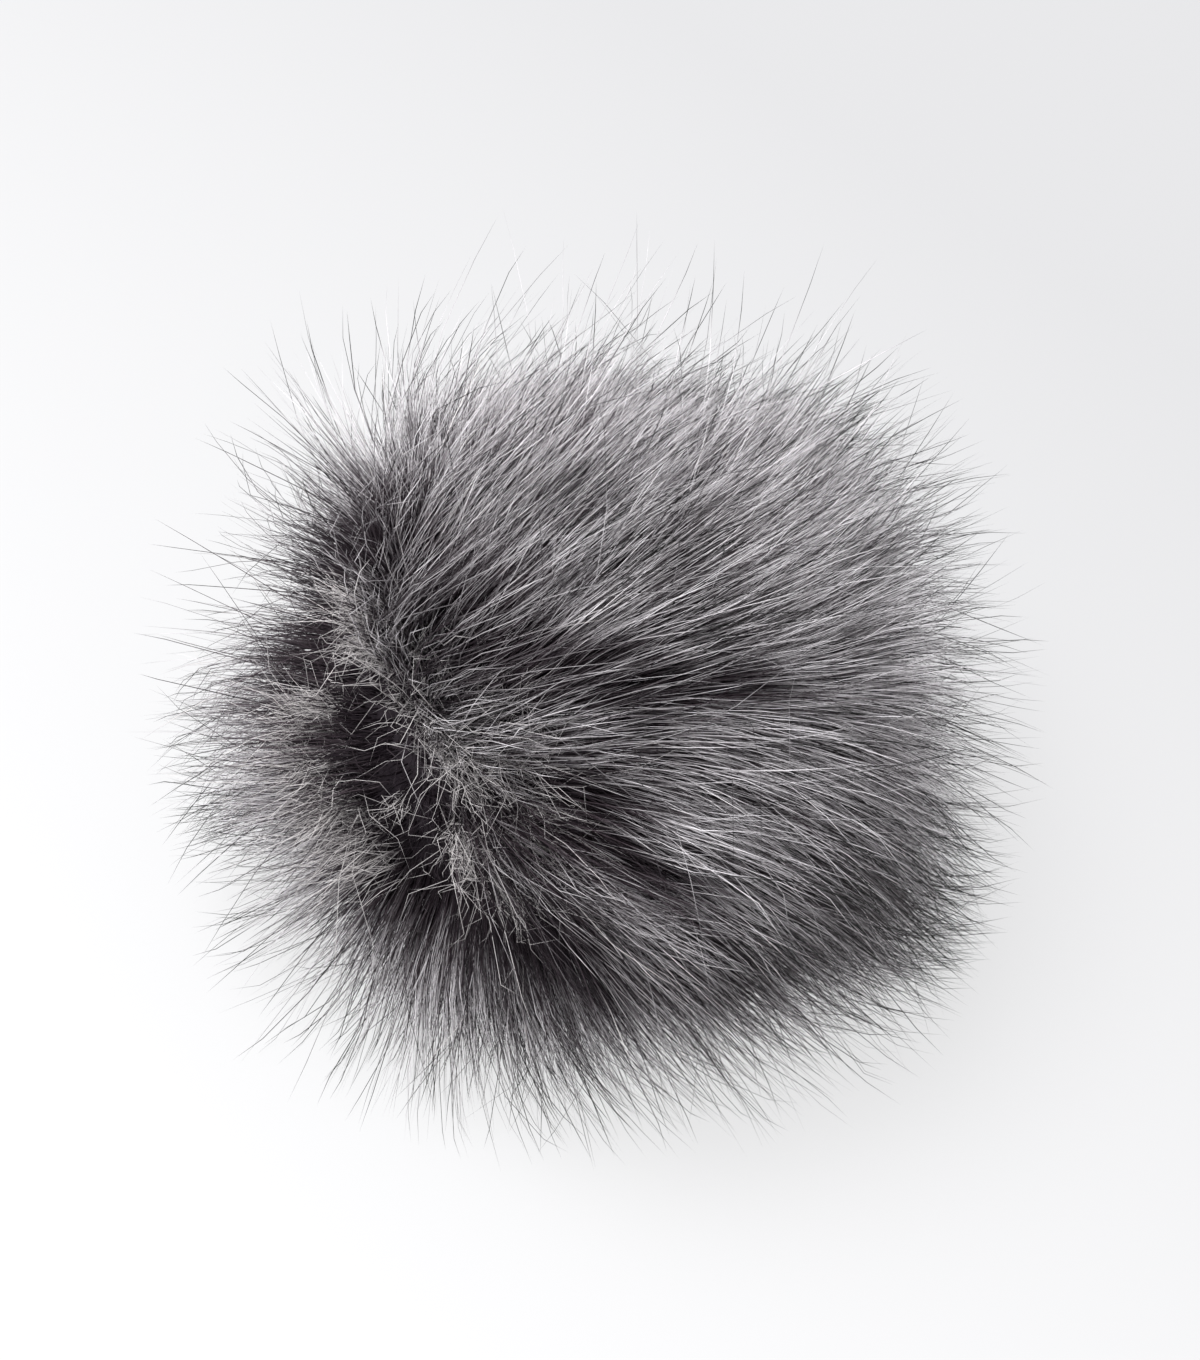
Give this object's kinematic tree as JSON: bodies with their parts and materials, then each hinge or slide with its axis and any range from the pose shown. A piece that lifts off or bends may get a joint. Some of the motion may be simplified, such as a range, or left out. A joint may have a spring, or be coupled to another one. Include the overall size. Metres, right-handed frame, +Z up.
{
  "type": "pom pom",
  "caption": "Round faux-fur pom pom with long grey pile that parts on one side, sweeps over the ball and lies level where it meets the surface.",
  "frame": {"origin": "middle of the pile's outline seen from above, on the surface that the pom pom lies on", "axes": "+Z up from the surface; -Y towards the side from which the picture was taken; the parting is on the -X side"},
  "size_m": [0.123, 0.1202, 0.0975],
  "materials": {
    "grey_fur": "long-pile acrylic fur: charcoal roots, silver-grey middle, near-black tips, soft sheen"
  },
  "bodies": {
    "root": {"fur_ball": "grey_fur"}
  },
  "joints": []
}
